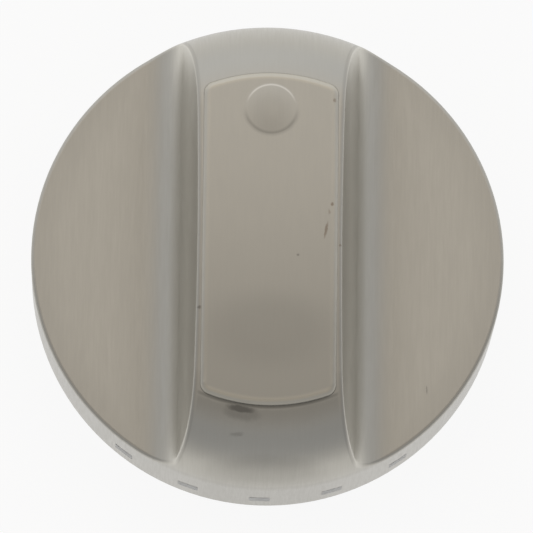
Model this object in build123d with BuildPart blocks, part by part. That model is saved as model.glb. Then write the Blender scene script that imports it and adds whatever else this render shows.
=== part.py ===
from build123d import *
from math import asin, atan2, cos, degrees, radians, sin, sqrt, tan
import os

# Stove knob: a drawn steel shell over a moulded core, with a sprung D-socket for the valve stem.
# Millimetres. The origin is the centre of the rim's plane and +Z comes out of the front.
# The grip bar runs along Y, with its pointer pip at the +Y end.

# Outside form
knob_diameter = 50.0
wing_height = 10.0
bar_height = 10.0
crown_radius = 10.0
dome_radius = 160.0
bar_width = 14.9
bar_draft = 15.0
foot_radius = 4.2
shoulder_radius = 0.4

# Panel and pointer pip pressed up out of the bar
panel_margin = 0.3
panel_end_radius = 17.9
panel_corner_radius = 1.4
panel_rise = 0.35
panel_edge_radius = 0.7
pip_diameter = 5.3
pip_centre = 13.8
pip_rise = 0.2

# Sheet and crimped rim
sheet = 0.7
crimp = 1.2
lip_width = 2.6

# Core, ribs and hub
fit_gap = 0.1
core_wall = 2.0
rib_count = 6
rib_width = 1.6
rib_back = 4.0
saddle_width = 7.0
hub_diameter = 14.0
hub_back = 1.5

# Stem socket
stem_diameter = 8.0
stem_flat_height = 6.5
stem_clearance = 0.06
socket_depth = 16.0
lead_in_diameter = 9.0
lead_in_depth = 3.0

# Band round the hub and leaf spring behind the socket's flat
band_length = 3.5
band_thickness = 0.6
band_set_back = 0.5
spring_width = 5.0
spring_thickness = 0.35
spring_length = 10.5
spring_reach = 0.25
spring_slot_depth = 0.9

# Levels and places that follow from the sizes above
knob_radius = knob_diameter / 2
bar_top = wing_height + bar_height
dome_z = bar_top - dome_radius
core_inset = sheet + fit_gap
brace_inset = core_inset + core_wall / 2
cavity_inset = core_inset + core_wall
hub_radius = hub_diameter / 2
neck_radius = hub_radius - band_thickness - fit_gap
socket_start = hub_back + lead_in_depth
socket_radius = stem_diameter / 2 + stem_clearance
socket_flat = stem_flat_height - stem_diameter / 2 + stem_clearance
slot_back = socket_flat + spring_slot_depth
deck_middle = wing_height - brace_inset
deck_underside = wing_height - cavity_inset

# The crown's arc rounds the upright side over into the dome
crown_x = knob_radius - crown_radius
crown_z = dome_z + sqrt((dome_radius - crown_radius) ** 2 - crown_x**2)
crown_end = degrees(atan2(crown_z - dome_z, crown_x))

# The pip is part of a ball whose centre lies under it, square to the panel
pip_ball = (pip_diameter**2 / 4 + pip_rise**2) / (2 * pip_rise)
pip_lean = asin(pip_centre / (dome_radius + panel_rise))
pip_reach = dome_radius + panel_rise + pip_rise - pip_ball


def knob_form(inset, base, edge_radius=0.0):
    """The knob's outside form, with every face moved in by inset, standing at the height base."""
    side = knob_radius - inset
    floor = wing_height - inset
    clear = bar_top + shoulder_radius
    slope = tan(radians(bar_draft))
    foot = bar_width / 2 - inset / cos(radians(bar_draft)) + (bar_top - floor) * slope
    with BuildPart() as form:
        with BuildSketch(Plane.XZ):
            with BuildLine():
                Polyline((0, bar_top - inset), (0, base), (side, base), (side, crown_z))
                CenterArc((crown_x, crown_z), crown_radius - inset, 0, crown_end)
                CenterArc((0, dome_z), dome_radius - inset, crown_end, 90 - crown_end)
            make_face()
        revolve(axis=Axis.Z)
        # The wings: two pockets along the bar, each with a drafted wall and a hollow-rounded foot
        with BuildSketch(Plane.XZ) as pocket:
            with BuildLine():
                Polyline(
                    (foot, floor),
                    (foot - (clear - floor) * slope, clear),
                    (knob_diameter, clear),
                    (knob_diameter, floor),
                    close=True,
                )
            make_face()
            fillet(pocket.vertices().group_by(Axis.Y)[0].sort_by(Axis.X)[0], foot_radius + inset)
            mirror(about=Plane.YZ)
        extrude(amount=knob_diameter, both=True, mode=Mode.SUBTRACT)
        if edge_radius > 0:
            rims = form.edges(Select.LAST).filter_by(GeomType.LINE, reverse=True)
            fillet(rims, edge_radius)
    return form.part


def panel_block(inset, edge_radius=0.0):
    """The long panel, with ends that follow circles round the knob's axis."""
    with BuildPart() as panel:
        with BuildSketch(Plane.XY.offset(bar_top - bar_height / 2)) as outline:
            Circle(panel_end_radius - inset)
            Rectangle(bar_width - 2 * (panel_margin + inset), knob_diameter, mode=Mode.INTERSECT)
            fillet(outline.vertices(), panel_corner_radius - inset)
        extrude(amount=bar_height)
        # The ball lies on its side, so that its poles are far from the knob
        with Locations((0, 0, dome_z)):
            Sphere(dome_radius + panel_rise - inset, rotation=(0, 90, 0), mode=Mode.INTERSECT)
        if edge_radius > 0:
            fillet(panel.faces().sort_by(Axis.Z)[-1].edges(), edge_radius)
    return panel.part


def pip_block(inset):
    """The round pointer pip: a lens that stands out of the panel near its end."""
    with BuildPart() as pip:
        with BuildSketch(Plane.XY.offset(bar_top - bar_height / 2)):
            with Locations((0, pip_centre)):
                Circle(pip_diameter / 2 + panel_margin)
        extrude(amount=bar_height)
        with Locations((0, pip_reach * sin(pip_lean), dome_z + pip_reach * cos(pip_lean))):
            Sphere(pip_ball - inset, rotation=(0, 90, 0), mode=Mode.INTERSECT)
    return pip.part


def crimp_at(inset):
    """The 45 degree bevel of the crimped rim, on a form moved in by inset."""
    return crimp - (2 - sqrt(2)) * inset


# Steel shell: one sheet, so its inside is the outside form moved in by the sheet
outside_form = knob_form(0.0, 0.0, shoulder_radius)
outside_panel = panel_block(0.0, panel_edge_radius)
outside_pip = pip_block(0.0)
inside_form = knob_form(sheet, sheet)
inside_panel = panel_block(sheet)
inside_pip = pip_block(sheet)
with BuildPart() as shell_hollow:
    add(inside_form)
    chamfer(shell_hollow.edges().group_by(Axis.Z)[0], crimp_at(sheet))
    add(inside_panel)
    add(inside_pip)
with BuildPart() as steel_shell:
    add(outside_form)
    chamfer(steel_shell.edges().group_by(Axis.Z)[0], crimp_at(0.0))
    add(outside_panel)
    add(outside_pip)
    add(shell_hollow.part, mode=Mode.SUBTRACT)
    with BuildSketch():
        Circle(knob_radius - lip_width)
    extrude(amount=sheet, mode=Mode.SUBTRACT)
steel_shell.part.label = "steel_shell"

# Ribs under the deck, and the saddle that ties the hub to both walls of the bar
brace_limit = knob_form(brace_inset, rib_back)
with BuildPart() as bracing:
    with BuildSketch(Plane.XY.offset(rib_back)):
        with PolarLocations(0, rib_count // 2, angular_range=180):
            Rectangle(knob_diameter, rib_width)
    extrude(amount=deck_middle - rib_back)
    with BuildSketch(Plane.XY.offset(deck_underside)):
        Rectangle(bar_width + 2 * foot_radius, saddle_width)
    extrude(amount=bar_height)
    add(brace_limit, mode=Mode.INTERSECT)

# Moulded core: an even wall inside the shell, open at the back
core_outside = knob_form(core_inset, core_inset)
core_cavity = knob_form(cavity_inset, 0.0)
with BuildPart() as moulded_core:
    add(core_outside)
    chamfer(moulded_core.edges().group_by(Axis.Z)[0], crimp_at(core_inset))
    add(core_cavity, mode=Mode.SUBTRACT)
    add(bracing.part)
    with BuildSketch(Plane.XY.offset(hub_back)):
        Circle(hub_radius)
    extrude(amount=bar_top - brace_inset - hub_back)
    # Neck for the band, clear of the ribs' ends
    with BuildSketch(Plane.XY.offset(hub_back)):
        Circle(hub_radius + fit_gap)
        Circle(neck_radius, mode=Mode.SUBTRACT)
    extrude(amount=band_set_back + band_length + fit_gap, mode=Mode.SUBTRACT)
    # Round mouth, then the D-shaped socket with its flat towards the pip
    with BuildSketch(Plane.XY.offset(hub_back)):
        Circle(lead_in_diameter / 2)
    extrude(amount=lead_in_depth, mode=Mode.SUBTRACT)
    with BuildSketch(Plane.XY.offset(socket_start)):
        Circle(socket_radius)
        with Locations((0, socket_flat)):
            Rectangle(stem_diameter * 2, stem_diameter, align=(Align.CENTER, Align.MIN), mode=Mode.SUBTRACT)
    extrude(amount=socket_depth - lead_in_depth, mode=Mode.SUBTRACT)
    # Slot for the leaf spring behind the flat
    with BuildSketch(Plane.XY.offset(socket_start)):
        Rectangle(spring_width + 2 * fit_gap, slot_back, align=(Align.CENTER, Align.MIN))
    extrude(amount=spring_length + 2 * fit_gap, mode=Mode.SUBTRACT)
moulded_core.part.label = "moulded_core"

# Hub band: a plain steel ring on the hub's neck
with BuildPart() as hub_band:
    with BuildSketch(Plane.XY.offset(hub_back + band_set_back)):
        Circle(neck_radius + fit_gap + band_thickness)
        Circle(neck_radius + fit_gap, mode=Mode.SUBTRACT)
    extrude(amount=band_length)
hub_band.part.label = "hub_band"

# Stem spring: a bowed leaf whose ends lie on the slot's back and whose middle stands past the flat
spring_end_y = slot_back - fit_gap - spring_thickness / 2
spring_middle_y = socket_flat - spring_reach + spring_thickness / 2
spring_low = socket_start + fit_gap
with BuildPart() as stem_spring:
    with BuildSketch(Plane.YZ):
        with BuildLine():
            ThreePointArc(
                (spring_end_y, spring_low),
                (spring_middle_y, spring_low + spring_length / 2),
                (spring_end_y, spring_low + spring_length),
            )
        trace(line_width=spring_thickness)
    extrude(amount=spring_width / 2, both=True)
stem_spring.part.label = "stem_spring"

os.makedirs("parts", exist_ok=True)
for piece in (steel_shell, moulded_core, hub_band, stem_spring):
    export_step(piece.part, f"parts/{piece.part.label}.step")
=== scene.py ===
# %% [markdown]
# # A brushed steel stove knob
# The knob is a cap drawn from one steel sheet over a black moulded core. Its solids come packed from
# the CAD model and stay where they are. This lesson gives them their finishes, adds the faint scale
# marks on the skirt, and sets up the studio and the camera.

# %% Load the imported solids
import math

import bpy
from mathutils import Matrix, Vector


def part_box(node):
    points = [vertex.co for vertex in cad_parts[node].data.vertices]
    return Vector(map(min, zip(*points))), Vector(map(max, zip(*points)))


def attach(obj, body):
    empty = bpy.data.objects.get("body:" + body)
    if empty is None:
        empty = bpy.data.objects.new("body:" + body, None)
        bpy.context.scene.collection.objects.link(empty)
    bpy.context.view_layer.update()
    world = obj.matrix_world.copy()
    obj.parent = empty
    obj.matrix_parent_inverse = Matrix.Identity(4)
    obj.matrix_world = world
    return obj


MM = 0.001

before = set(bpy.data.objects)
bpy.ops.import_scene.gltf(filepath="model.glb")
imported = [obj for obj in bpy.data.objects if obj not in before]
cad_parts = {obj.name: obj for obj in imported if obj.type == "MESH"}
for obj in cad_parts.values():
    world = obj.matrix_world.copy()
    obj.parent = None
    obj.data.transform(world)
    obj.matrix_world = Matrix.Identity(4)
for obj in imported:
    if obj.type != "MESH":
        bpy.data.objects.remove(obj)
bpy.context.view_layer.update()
shell_low, shell_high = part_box("steel_shell")
knob_radius = (shell_high.x - shell_low.x) / 2
knob_top = shell_high.z
print("nodes:", sorted(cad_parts), "knob radius mm:", round(knob_radius / MM, 2))

# %% [markdown]
# ## Laying out nodes
# Every finish here is a small tree of shader nodes. They could be wired by hand in the editor. In a
# script one helper adds a node, sets its options, and fills each socket with a value or a link, so
# that a material reads from top to bottom like a recipe.


# %% Helpers for node trees
def lay(tree, kind, inputs=None, **options):
    """Adds one node. Each input is a value or another node's output, by socket name or number."""
    node = tree.nodes.new(kind)
    for name, value in options.items():
        setattr(node, name, value)
    for name, value in (inputs or {}).items():
        socket = node.inputs[name]
        if isinstance(value, bpy.types.NodeSocket):
            tree.links.new(value, socket)
        else:
            socket.default_value = value
    return node


def new_finish(name):
    """A material with only its Principled shader, ready for nodes."""
    finish = bpy.data.materials.new(name)
    finish.use_nodes = True
    tree = finish.node_tree
    return finish, tree, tree.nodes["Principled BSDF"]


print("helpers: nodes and finishes")


# %% Helpers for sums and colours
def reckon(tree, operation, first, second=0.0, third=0.0):
    """One Math node, and its output."""
    node = lay(tree, "ShaderNodeMath", {0: first, 1: second, 2: third}, operation=operation)
    return node.outputs[0]


def times(tree, first, second):
    """The product of two values."""
    return reckon(tree, "MULTIPLY", first, second)


def larger(tree, first, second):
    """The larger of two values."""
    return reckon(tree, "MAXIMUM", first, second)


def ramp(tree, value, low, high, out_low=0.0, out_high=1.0):
    """Maps a value smoothly from one span to another, and stops at its ends."""
    node = lay(
        tree,
        "ShaderNodeMapRange",
        {"Value": value, "From Min": low, "From Max": high, "To Min": out_low, "To Max": out_high},
        interpolation_type="SMOOTHSTEP",
    )
    return node.outputs["Result"]


def tint(tree, amount, colour, other):
    """Mixes two colours by an amount."""
    node = lay(tree, "ShaderNodeMix", {0: amount, 6: colour, 7: other}, data_type="RGBA")
    return node.outputs[2]


print("helpers: sums and colours")

# %% [markdown]
# ## Brushed steel
# The sheet was brushed along the bar before it was drawn, so fine scratches run along Y on the top and
# go on down the skirt. A texture stretched along Y and Z gives them: it changes quickly across X only.
# Two such noises are laid over each other, one for single scratches and one for broader streaks.
# Modelled scratches would need millions of faces and show no more than this does.


# %% Grain of the sheet
def stretched_noise(tree, place, pitch, run, detail):
    """Noise that changes over the pitch across X and over the run along Y and Z."""
    stretch = {"Vector": place, "Scale": (1 / pitch, 1 / run, 1 / run)}
    spread = lay(tree, "ShaderNodeMapping", stretch)
    noise = lay(
        tree,
        "ShaderNodeTexNoise",
        {"Vector": spread.outputs[0], "Scale": 1.0, "Detail": detail, "Roughness": 0.6},
    )
    return noise.outputs["Fac"]


scratch_pitch, scratch_run = 0.14 * MM, 3.0 * MM
streak_pitch, streak_run = 0.8 * MM, 25.0 * MM
print("scratch pitch mm:", scratch_pitch / MM, "streak pitch mm:", streak_pitch / MM)

# %% Sheet and its scratches
steel_colour = (0.490, 0.472, 0.425, 1.0)
streak_colour = (0.478, 0.460, 0.414, 1.0)
bright_scratch = (0.55, 0.535, 0.49, 1.0)

brushed_steel, tree, steel = new_finish("brushed_steel_sheet")
place = lay(tree, "ShaderNodeTexCoord").outputs["Object"]
scratches = stretched_noise(tree, place, scratch_pitch, scratch_run, 3.0)
streaks = stretched_noise(tree, place, streak_pitch, streak_run, 4.0)
colour = tint(tree, ramp(tree, streaks, 0.3, 0.7), streak_colour, steel_colour)
colour = tint(tree, ramp(tree, scratches, 0.35, 0.75, 0.0, 0.2), colour, bright_scratch)
print("finish:", brushed_steel.name)

# %% [markdown]
# ## Where fingers go, and painted light and shade
# Fingers leave the bar's top a little dull. The walls and the panel's edge are painted brighter, as
# painted highlights, the shoulders are painted darker, as painted shade that dims their bright line,
# and the wings are painted darker by the walls' feet and towards the rim, as painted shade. Painted
# masks would do, but they need a UV map. Tints that go by the knob's own form need none: they go by
# the height, by the slanting plane of the walls, by the height over the dome and by the distance from
# the axis.


# %% Places on the knob
def distance_on_plan(tree, place, centre=(0.0, 0.0)):
    """How far each point lies from a centre, seen along the knob's axis. Centre in millimetres."""
    middle = (centre[0] * MM, centre[1] * MM, 0.0)
    away = lay(tree, "ShaderNodeVectorMath", {0: place, 1: middle}, operation="SUBTRACT")
    flat = {0: away.outputs[0], 1: (1.0, 1.0, 0.0)}
    plan = lay(tree, "ShaderNodeVectorMath", flat, operation="MULTIPLY")
    reach = lay(tree, "ShaderNodeVectorMath", {0: plan.outputs[0]}, operation="LENGTH")
    return reach.outputs["Value"]


bar_top = 20.0 * MM
dome_radius = 160.0 * MM
wall_slope = math.tan(math.radians(15.0))
wall_foot = 7.45 * MM + bar_top * wall_slope

spot = lay(tree, "ShaderNodeSeparateXYZ", {0: place})
height, along = spot.outputs["Z"], spot.outputs["Y"]
beside = reckon(tree, "ABSOLUTE", spot.outputs["X"])
from_axis = distance_on_plan(tree, place)
wall_line = reckon(tree, "MULTIPLY_ADD", height, -wall_slope, wall_foot)
past_wall = reckon(tree, "SUBTRACT", beside, wall_line)
over_ball = reckon(tree, "MULTIPLY_ADD", times(tree, from_axis, from_axis), 0.5 / dome_radius, height)
over_dome = reckon(tree, "SUBTRACT", over_ball, bar_top)
print("wall's foot mm:", round(wall_foot / MM, 2))

# %% Handled top, painted highlight on the walls and painted shade on the shoulders
handled_colour = (0.436, 0.420, 0.378, 1.0)
wall_highlight_colour = (0.63, 0.61, 0.553, 1.0)
shoulder_shade_colour = (0.36, 0.345, 0.31, 1.0)

handled = ramp(tree, height, 14.5 * MM, 18.5 * MM, 0.0, 0.85)
colour = tint(tree, handled, colour, handled_colour)

# Painted highlight: the walls between the foot and the shoulder are painted brighter.
near_wall = ramp(tree, past_wall, -0.35 * MM, -0.05 * MM)
above_foot = ramp(tree, height, 10.8 * MM, 12.5 * MM)
below_shoulder = ramp(tree, height, 19.0 * MM, 15.0 * MM, 0.15, 1.0)
painted_wall_highlight = times(tree, times(tree, near_wall, above_foot), below_shoulder)
colour = tint(tree, painted_wall_highlight, colour, wall_highlight_colour)

# Painted shade: a thin band along the shoulders is painted darker, which dims their bright line.
out_from_panel = ramp(tree, past_wall, -0.45 * MM, -0.28 * MM)
in_from_wall = ramp(tree, past_wall, -0.02 * MM, -0.1 * MM)
up_the_bar = ramp(tree, height, 11.5 * MM, 13.5 * MM, 0.0, 0.6)
painted_shoulder_shade = times(tree, times(tree, out_from_panel, in_from_wall), up_the_bar)
colour = tint(tree, painted_shoulder_shade, colour, shoulder_shade_colour)
print("tints so far: handled, wall highlight, shoulder shade")

# %% Painted highlight on the panel's edge, and painted shade on the wings
panel_edge_highlight_colour = (0.56, 0.525, 0.445, 1.0)
wing_shade_colour = (0.40, 0.384, 0.345, 1.0)

# Painted highlight: the panel's rolled edge is painted brighter, most at its ends.
on_panel = ramp(tree, over_dome, 0.02 * MM, 0.1 * MM)
at_ends = ramp(tree, from_axis, 16.9 * MM, 17.4 * MM, 0.0, 0.75)
at_sides = ramp(tree, beside, 6.2 * MM, 6.7 * MM, 0.0, 0.35)
painted_panel_edge_highlight = times(tree, on_panel, larger(tree, at_ends, at_sides))
colour = tint(tree, painted_panel_edge_highlight, colour, panel_edge_highlight_colour)

# Painted shade: the wings are painted darker by the walls' feet and towards the rim.
under_walls = ramp(tree, height, 11.5 * MM, 10.5 * MM)
shade_by_foot = times(tree, ramp(tree, beside, 17.0 * MM, 12.5 * MM, 0.0, 0.45), under_walls)
shade_by_rim = ramp(tree, from_axis, 20.5 * MM, 25.0 * MM, 0.0, 0.4)
on_deck = ramp(tree, height, 11.0 * MM, 10.2 * MM)
colour = tint(tree, times(tree, larger(tree, shade_by_foot, shade_by_rim), on_deck), colour, wing_shade_colour)
print("tints so far: handled, wall highlight, shoulder shade, panel's edge highlight, wing shade")

# %% [markdown]
# ## Wear, and painted shade
# The knob in the photo is used: grease has dried in a few spots at the panel's plain end and round the
# pip, and there are a few brown marks, a nick and a scratch. Painted shade darkens the crease at the
# panel's plain end, away from the pip, with a softer painted shadow below it, and darkens the panel's
# near half and the plain end's flank. A painted shadow lies below the pip, and a painted highlight on
# its upper edge. A painted image would do, but it needs a UV map and a file. Each mark here is a soft
# oval or ring on the plan, placed in the knob's own coordinates, so it stays put from every side. A
# little noise pushes the ovals out of shape.


# %% Ovals and rings of wear and painted light
def oval(tree, place, centre, half_size, turn=0.0):
    """A soft oval on the plan: 1 in the middle and 0 outside. Millimetres and degrees."""
    local = lay(
        tree,
        "ShaderNodeMapping",
        {
            "Vector": place,
            "Location": (centre[0] * MM, centre[1] * MM, 0.0),
            "Rotation": (0.0, 0.0, math.radians(turn)),
            "Scale": (half_size[0] * MM, half_size[1] * MM, 1.0),
        },
        vector_type="TEXTURE",
    )
    away = lay(tree, "ShaderNodeVectorMath", {0: local.outputs[0]}, operation="LENGTH")
    return ramp(tree, away.outputs["Value"], 1.0, 0.35)


def most_of(tree, place, spots):
    """The strongest of several ovals at each point."""
    strongest = 0.0
    for centre, half_size, turn, strength in spots.values():
        mark = times(tree, oval(tree, place, centre, half_size, turn), strength)
        strongest = larger(tree, mark, strongest)
    return strongest


def soft_ring(tree, place, centre, radius, inner, outer):
    """A ring on the plan: full at the radius, and gone at its inner and outer limits."""
    reach = distance_on_plan(tree, place, centre)
    rising = ramp(tree, reach, (radius - inner) * MM, radius * MM)
    falling = ramp(tree, reach, (radius + outer) * MM, radius * MM)
    return times(tree, rising, falling)


print("helpers: ovals and rings")

# %% Spots of grease, painted shade and brown marks
# Centre (x, y), half size, turn in degrees, then how strong the mark is; millimetres
grease_and_shade_spots = {
    "grease below the panel": ((-2.6, -17.95), (2.2, 0.6), -10.0, 0.6),
    "smear round it": ((-2.5, -18.3), (3.2, 1.2), -8.0, 0.3),
    "run of grease": ((-2.95, -20.4), (0.95, 0.3), 5.0, 0.2),
    "film on the pip": ((0.0, 13.8), (2.9, 2.9), 0.0, 0.08),
    # Painted shade: the next two ovals darken the panel's near half and the plain end's flank.
    "painted shade on the panel's near half": ((0.2, -9.8), (9.5, 5.4), 0.0, 0.1),
    "painted shade on the plain end": ((0.0, -23.5), (8.5, 1.7), 0.0, 0.14),
    "speck on the panel": ((3.17, -1.85), (0.2, 0.2), 0.0, 0.35),
    "nick by the edge": ((-7.1, -7.48), (0.3, 0.3), 0.0, 0.45),
    "scratch on the wing": ((17.08, -13.8), (0.12, 0.6), 0.0, 0.3),
}
brown_spots = {
    "brown dot": ((6.65, 3.66), (0.2, 0.26), 0.0, 0.55),
    "faint brown mark": ((6.36, 2.82), (0.16, 0.4), 0.0, 0.3),
    "brown streak": ((6.06, 0.88), (0.19, 1.2), -10.0, 0.5),
    "dot on the wall": ((7.54, -0.64), (0.18, 0.2), 0.0, 0.45),
    "brown mark by the pip": ((6.8, 15.0), (0.22, 0.3), 0.0, 0.4),
}
print("marks of wear and painted shade:", len(grease_and_shade_spots) + len(brown_spots))

# %% Grease, painted shade, painted highlight and brown marks
grease_and_shade_colour = (0.045, 0.04, 0.032, 1.0)
brown_colour = (0.14, 0.085, 0.045, 1.0)
pip_highlight_colour = (0.75, 0.735, 0.69, 1.0)
knob_axis, pip_spot = (0.0, 0.0), (0.0, 13.8)

ragged = lay(tree, "ShaderNodeTexNoise", {"Vector": place, "Scale": 1 / (0.6 * MM), "Detail": 3.0})
pushed = {0: 0.4 * MM, 4: place, 5: ragged.outputs["Color"]}
shifted = lay(tree, "ShaderNodeMix", pushed, data_type="VECTOR").outputs[1]

# Painted shade: a dark line in the crease at the panel's plain end, and a softer painted shadow below it.
crease_shade = times(tree, soft_ring(tree, place, knob_axis, 17.95, 0.25, 0.35), 0.5)
shadow_below_crease = times(tree, soft_ring(tree, shifted, knob_axis, 18.2, 0.4, 2.2), 0.16)
plain_end = ramp(tree, along, -15.6 * MM, -17.4 * MM)
on_bar = ramp(tree, past_wall, -0.3 * MM, -0.6 * MM)
crease_shade = times(tree, larger(tree, crease_shade, shadow_below_crease), times(tree, plain_end, on_bar))

# Painted shadow: a dark crescent round the lower side of the pip.
below_pip = ramp(tree, along, 14.2 * MM, 12.2 * MM, 0.0, 0.2)
painted_shadow_below_pip = times(tree, soft_ring(tree, place, pip_spot, 2.7, 0.3, 0.5), below_pip)
# Painted highlight: a bright arc on the pip's upper edge.
above_pip = ramp(tree, along, 14.2 * MM, 15.8 * MM, 0.0, 0.6)
painted_pip_highlight = times(tree, soft_ring(tree, place, pip_spot, 2.6, 0.16, 0.16), above_pip)

# Grease and painted shade share one dark colour and one mask.
grease_and_shade = larger(tree, most_of(tree, shifted, grease_and_shade_spots), larger(tree, crease_shade, painted_shadow_below_pip))
colour = tint(tree, painted_pip_highlight, colour, pip_highlight_colour)
colour = tint(tree, most_of(tree, shifted, brown_spots), colour, brown_colour)
colour = tint(tree, grease_and_shade, colour, grease_and_shade_colour)
print("wear, painted shade and highlights laid over the tints")

# %% [markdown]
# ## Shine
# Brushing makes steel dull across the scratches and bright along them. The shader's anisotropy does
# that: its tangent lies across X and it spreads every reflection that way. The scratches also move the
# roughness a little, and a shallow bump breaks the reflections. Grease, and the painted shade that
# shares its mask, is duller than the metal.

# %% Shine of the brushed steel
shine = ramp(tree, scratches, 0.25, 0.75, 0.40, 0.33)
shine = reckon(tree, "ADD", shine, times(tree, grease_and_shade, 0.3))
groove = {"Strength": 0.2, "Distance": 0.004 * MM, "Height": scratches}
relief = lay(tree, "ShaderNodeBump", groove)
across = lay(tree, "ShaderNodeCombineXYZ", {"X": 1.0})
tree.links.new(colour, steel.inputs["Base Color"])
tree.links.new(shine, steel.inputs["Roughness"])
tree.links.new(relief.outputs[0], steel.inputs["Normal"])
tree.links.new(across.outputs[0], steel.inputs["Tangent"])
steel.inputs["Metallic"].default_value = 1.0
steel.inputs["Anisotropic"].default_value = 0.5
print("nodes in the finish:", len(tree.nodes))

# %% [markdown]
# ## Black moulding
# The core is moulded in a black plastic, in a mould with a fine spark-eroded texture. Close up that is
# a field of tiny pits. They are far too small to model, so a small Voronoi pattern drives the bump, and
# a soft noise lets the gloss wander as it does where the plastic cooled unevenly.

# %% Black moulding shader
pit_pitch = 0.22 * MM
black_moulding, tree, plastic = new_finish("black_moulded_plastic")
place = lay(tree, "ShaderNodeTexCoord").outputs["Object"]
pits = lay(tree, "ShaderNodeTexVoronoi", {"Vector": place, "Scale": 1 / pit_pitch}, feature="SMOOTH_F1")
flow = lay(tree, "ShaderNodeTexNoise", {"Vector": place, "Scale": 1 / (5 * MM), "Detail": 4.0})
dust = ramp(tree, flow.outputs["Fac"], 0.45, 0.75)
colour = tint(tree, dust, (0.014, 0.014, 0.015, 1.0), (0.026, 0.026, 0.027, 1.0))
relief = lay(
    tree,
    "ShaderNodeBump",
    {"Strength": 0.5, "Distance": 0.02 * MM, "Height": pits.outputs["Distance"]},
)
tree.links.new(colour, plastic.inputs["Base Color"])
tree.links.new(ramp(tree, flow.outputs["Fac"], 0.3, 0.7, 0.42, 0.56), plastic.inputs["Roughness"])
tree.links.new(relief.outputs[0], plastic.inputs["Normal"])
print("finish:", black_moulding.name)

# %% [markdown]
# ## Rolled steel
# The band on the hub and the leaf in the socket are cut from plain strip as it leaves the rolling mill:
# brighter than the brushed front, with faint lines round the band and no brushing. A noise squeezed
# along Z gives the lines, and one finish does for both pieces.

# %% Rolled steel shader
rolled_steel, tree, strip = new_finish("rolled_steel_strip")
place = lay(tree, "ShaderNodeTexCoord").outputs["Object"]
mill = lay(
    tree,
    "ShaderNodeTexNoise",
    {
        "Vector": lay(
            tree, "ShaderNodeMapping", {"Vector": place, "Scale": (150.0, 150.0, 1 / (0.12 * MM))}
        ).outputs[0],
        "Scale": 1.0,
        "Detail": 3.0,
    },
)
colour = tint(tree, mill.outputs["Fac"], (0.50, 0.50, 0.49, 1.0), (0.64, 0.635, 0.62, 1.0))
tree.links.new(colour, strip.inputs["Base Color"])
tree.links.new(ramp(tree, mill.outputs["Fac"], 0.3, 0.7, 0.24, 0.38), strip.inputs["Roughness"])
strip.inputs["Metallic"].default_value = 1.0
print("finish:", rolled_steel.name)

# %% [markdown]
# ## Dressing the solids
# The solids carry plain materials from the pack. Each one gets a finish in its first slot, and its mesh
# stays as it came.


# %% Put the finishes on the solids
def dress(node, finish):
    """Gives a CAD node its finish."""
    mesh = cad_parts[node].data
    mesh.materials.clear()
    mesh.materials.append(finish)


dress("steel_shell", brushed_steel)
dress("moulded_core", black_moulding)
dress("hub_band", rolled_steel)
dress("stem_spring", rolled_steel)
print("dressed:", [(n, o.data.materials[0].name) for n, o in sorted(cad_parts.items())])

# %% [markdown]
# ## Scale marks
# The skirt carries a row of small grey marks at even angles, too worn to read, so they are plain here.
# They are printed: a film of paint that lies on the round skirt. Geometry Nodes set them out along an
# arc, one small grid each, then push every point out to the skirt's radius, so the paint bends with it.
# The numbers stay open as inputs, and the result becomes a plain mesh.

# %% Paint for the marks
mark_paint, tree, paint = new_finish("worn_grey_paint")
place = lay(tree, "ShaderNodeTexCoord").outputs["Object"]
worn = lay(tree, "ShaderNodeTexNoise", {"Vector": place, "Scale": 1 / (1.5 * MM), "Detail": 2.0})
thin = ramp(tree, worn.outputs["Fac"], 0.3, 0.7)
colour = tint(tree, thin, (0.60, 0.60, 0.585, 1.0), (0.62, 0.62, 0.605, 1.0))
tree.links.new(colour, paint.inputs["Base Color"])
tree.links.new(ramp(tree, worn.outputs["Fac"], 0.3, 0.7, 0.5, 0.7), paint.inputs["Roughness"])
print("finish:", mark_paint.name)

# %% Inputs of the marks
mark_inputs = {
    "Count": ("NodeSocketInt", 5),
    "Middle angle": ("NodeSocketFloat", math.radians(268.9)),
    "Spacing": ("NodeSocketFloat", math.radians(17.75)),
    "Radius": ("NodeSocketFloat", knob_radius + 0.01 * MM),
    "Height": ("NodeSocketFloat", 4.6 * MM),
    "Width": ("NodeSocketFloat", 2.2 * MM),
    "Length": ("NodeSocketFloat", 1.7 * MM),
}
marks = bpy.data.node_groups.new("scale_marks", "GeometryNodeTree")
marks.interface.new_socket("Geometry", in_out="OUTPUT", socket_type="NodeSocketGeometry")
mark_sockets = {
    name: marks.interface.new_socket(name, in_out="INPUT", socket_type=kind)
    for name, (kind, _) in mark_inputs.items()
}
given = lay(marks, "NodeGroupInput").outputs
print("tree:", marks.name, "with inputs", list(mark_inputs))

# %% Places along the arc
quarter_turn = math.radians(90)
gaps = reckon(marks, "SUBTRACT", given["Count"], 1.0)
half_sweep = times(marks, times(marks, gaps, given["Spacing"]), 0.5)
start = reckon(marks, "SUBTRACT", given["Middle angle"], half_sweep)
number = lay(marks, "GeometryNodeInputIndex").outputs[0]
turn = reckon(marks, "ADD", start, times(marks, number, given["Spacing"]))
centre = lay(
    marks,
    "ShaderNodeCombineXYZ",
    {
        "X": times(marks, reckon(marks, "COSINE", turn), given["Radius"]),
        "Y": times(marks, reckon(marks, "SINE", turn), given["Radius"]),
        "Z": given["Height"],
    },
)
row = lay(marks, "GeometryNodePoints", {"Count": given["Count"]})
moved = {"Geometry": row.outputs[0], "Position": centre.outputs[0]}
placed = lay(marks, "GeometryNodeSetPosition", moved)
print("places:", mark_inputs["Count"][1])

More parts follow.
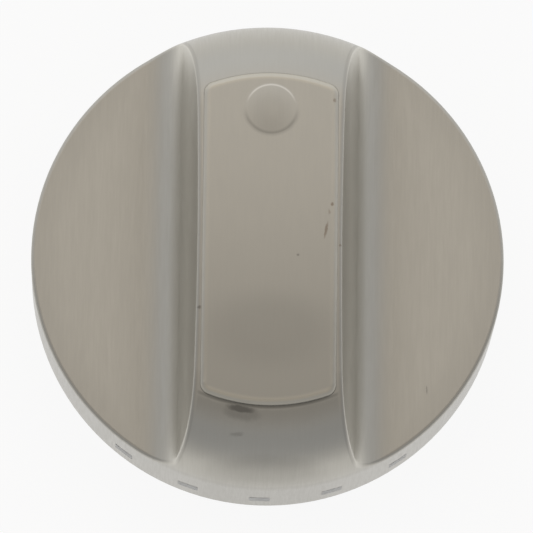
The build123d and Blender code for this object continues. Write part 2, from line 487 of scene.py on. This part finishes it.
# %% A patch at each place
patch = lay(
    marks,
    "GeometryNodeMeshGrid",
    {"Size X": given["Width"], "Size Y": given["Length"], "Vertices X": 9, "Vertices Y": 4},
)
upright = {"X": quarter_turn, "Z": reckon(marks, "ADD", turn, quarter_turn)}
facing = lay(marks, "ShaderNodeCombineXYZ", upright)
copies = lay(
    marks,
    "GeometryNodeInstanceOnPoints",
    {"Points": placed.outputs[0], "Instance": patch.outputs[0], "Rotation": facing.outputs[0]},
)
real = lay(marks, "GeometryNodeRealizeInstances", {0: copies.outputs[0]})
print("patches stand upright and face out")

# %% Bend the patches round the skirt
point = lay(marks, "GeometryNodeInputPosition")
here = lay(marks, "ShaderNodeSeparateXYZ", {0: point.outputs[0]})
plan = lay(marks, "ShaderNodeCombineXYZ", {"X": here.outputs["X"], "Y": here.outputs["Y"]})
outward = lay(marks, "ShaderNodeVectorMath", {0: plan.outputs[0]}, operation="NORMALIZE")
pushed_out = {0: outward.outputs[0], "Scale": given["Radius"]}
on_skirt = lay(marks, "ShaderNodeVectorMath", pushed_out, operation="SCALE")
level = lay(marks, "ShaderNodeCombineXYZ", {"Z": here.outputs["Z"]})
raised = {0: on_skirt.outputs[0], 1: level.outputs[0]}
bent = lay(marks, "ShaderNodeVectorMath", raised, operation="ADD")
moved = {"Geometry": real.outputs[0], "Position": bent.outputs[0]}
wrapped = lay(marks, "GeometryNodeSetPosition", moved)
coated = {"Geometry": wrapped.outputs[0], "Material": mark_paint}
painted = lay(marks, "GeometryNodeSetMaterial", coated)
lay(marks, "NodeGroupOutput", {0: painted.outputs[0]})
print("nodes in the tree:", len(marks.nodes))

# %% Turn the marks into a mesh
seed = bpy.data.objects.new("scale_marks_seed", bpy.data.meshes.new("scale_marks_seed"))
bpy.context.collection.objects.link(seed)
maker = seed.modifiers.new("scale_marks", "NODES")
maker.node_group = marks
for name, (_, value) in mark_inputs.items():
    maker[mark_sockets[name].identifier] = value
evaluated = seed.evaluated_get(bpy.context.evaluated_depsgraph_get())
marks_mesh = bpy.data.meshes.new_from_object(evaluated)
bpy.data.objects.remove(seed)

# The mesh comes with an empty slot before the paint's, so its slots are laid out afresh
marks_mesh.materials.clear()
marks_mesh.materials.append(mark_paint)
for face in marks_mesh.polygons:
    face.material_index = 0
scale_marks = bpy.data.objects.new("scale_marks", marks_mesh)
bpy.context.collection.objects.link(scale_marks)
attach(scale_marks, "root")
print("scale marks:", len(marks_mesh.polygons), "faces, finishes", list(marks_mesh.materials))

# %% [markdown]
# ## Floor
# The photo is a studio picture on white. The floor is a pale sheet that takes the knob's shadow. To the
# camera and in the metal most of it shows as plain white, by the Light Path node. It is a little darker
# well in front of the knob, because the bar's near end mirrors that part.

# %% Floor
floor_half = 3.0
floor_mesh = bpy.data.meshes.new("floor")
corners = [(-floor_half, -floor_half, 0), (floor_half, -floor_half, 0)]
corners += [(floor_half, floor_half, 0), (-floor_half, floor_half, 0)]
floor_mesh.from_pydata(corners, [], [(0, 1, 2, 3)])
floor = bpy.data.objects.new("floor", floor_mesh)
bpy.context.collection.objects.link(floor)

paper, tree, sheet = new_finish("white_paper")
sheet.inputs["Base Color"].default_value = (0.9, 0.9, 0.9, 1.0)
sheet.inputs["Roughness"].default_value = 1.0
sheet.inputs["Specular IOR Level"].default_value = 0.0
place = lay(tree, "ShaderNodeTexCoord").outputs["Object"]
ahead = lay(tree, "ShaderNodeSeparateXYZ", {0: place}).outputs["Y"]
pool = ramp(tree, ahead, -110 * MM, -30 * MM, 0.6, 1.0)
glow = lay(tree, "ShaderNodeEmission", {"Color": (1, 1, 1, 1), "Strength": pool})
ray = lay(tree, "ShaderNodeLightPath")
seen = larger(tree, ray.outputs["Is Camera Ray"], ray.outputs["Is Glossy Ray"])
seen = larger(tree, seen, ray.outputs["Is Transmission Ray"])
share = times(tree, seen, 0.9)
mixed = lay(tree, "ShaderNodeMixShader", {0: share, 1: sheet.outputs[0], 2: glow.outputs[0]})
tree.links.new(mixed.outputs[0], tree.nodes["Material Output"].inputs["Surface"])
floor_mesh.materials.append(paper)
print("floor mm:", 2 * floor_half / MM)

# %% [markdown]
# ## Light
# Steel shows what is round it, so the sky here matters more than any lamp. A few big lamps would show
# as bright patches with hard ends. A soft gradient gives the photo's even greys: bright beyond the
# pip's end, darker overhead and on the camera's side, a little warmer overhead. One large weak lamp
# adds the soft shadow.

# %% Sky
low_sky = (0.985, 1.0, 1.03, 1.0)
high_sky = (1.06, 1.0, 0.93, 1.0)
world = bpy.data.worlds.new("studio")
bpy.context.scene.world = world
world.use_nodes = True
tree = world.node_tree
sky = tree.nodes["Background"]
way = lay(tree, "ShaderNodeTexCoord").outputs["Generated"]
split_way = lay(tree, "ShaderNodeSeparateXYZ", {0: way})
towards_pip_end = ramp(tree, split_way.outputs["Y"], 0.07, 0.27, 0.53, 0.87)
beyond_pip_end = ramp(tree, split_way.outputs["Y"], 0.25, 0.9, 0.0, 0.12)
on_left = ramp(tree, split_way.outputs["X"], -0.1, -0.6, 1.0, 0.93)
on_right = ramp(tree, split_way.outputs["X"], 0.1, 0.6, 1.0, 0.90)
lengthwise = reckon(tree, "ADD", towards_pip_end, beyond_pip_end)
brightness = times(tree, lengthwise, times(tree, on_left, on_right))
overhead = ramp(tree, split_way.outputs["Z"], 0.45, 0.95)
tree.links.new(tint(tree, overhead, low_sky, high_sky), sky.inputs["Color"])
tree.links.new(brightness, sky.inputs["Strength"])
print("sky:", world.name)


# %% Lamps
def softbox(name, where, target, size, power):
    """A square lamp that faces a target. Distances in millimetres."""
    lamp = bpy.data.lights.new(name, "AREA")
    lamp.shape = "SQUARE"
    lamp.size = size * MM
    lamp.energy = power
    holder = bpy.data.objects.new(name, lamp)
    aim = (Vector(target) - Vector(where)).to_track_quat("-Z", "Y")
    holder.matrix_world = Matrix.Translation(Vector(where) * MM) @ aim.to_matrix().to_4x4()
    bpy.context.collection.objects.link(holder)
    return holder


knob_middle = (0.0, 0.0, knob_top / MM / 2)
softbox("pip_end_box", (-200, 800, 600), knob_middle, 900, 0.12)

# %% [markdown]
# ## Camera
# The photo looks down on the knob a little off its axis: the panel's arcs stand off the centre of the
# wings' circle, towards the pip. A long lens 700 mm away that leans over towards the plain end gives that
# view. A shifted lens would keep the wings' circle rounder, but it would lose the knob in other views.

# %% Camera
photo_width = 533
view_distance = 700.0
aim_height = 10.0
tilt_to_plain_end = math.radians(13.0)
tilt_to_left = math.radians(1.2)
lean = math.radians(0.65)
mm_per_pixel = 0.1057
frame_shift = (-1.2, -9.0)

aim_point = Vector((0.0, 0.0, aim_height))
towards_camera = Vector((-math.sin(tilt_to_left), -math.sin(tilt_to_plain_end), 0.0))
towards_camera.z = math.sqrt(1 - towards_camera.length_squared)
up = Vector((0.0, 1.0, 0.0))
up = (up - up.dot(towards_camera) * towards_camera).normalized()
up.rotate(Matrix.Rotation(lean, 3, towards_camera))
right = up.cross(towards_camera)
aim_point += (right * frame_shift[0] + up * frame_shift[1]) * mm_per_pixel

lens = bpy.data.cameras.new("camera")
lens.sensor_fit = "HORIZONTAL"
lens.angle = 2 * math.atan(photo_width * mm_per_pixel / 2 / view_distance)
lens.clip_start = 0.01
camera = bpy.data.objects.new("camera", lens)
stance = Matrix((right, up, towards_camera)).transposed().to_4x4()
camera.matrix_world = Matrix.Translation((aim_point + towards_camera * view_distance) * MM) @ stance
bpy.context.collection.objects.link(camera)
bpy.context.scene.camera = camera
bpy.context.scene.view_settings.view_transform = "Standard"
print("view across mm:", round(photo_width * mm_per_pixel, 2))
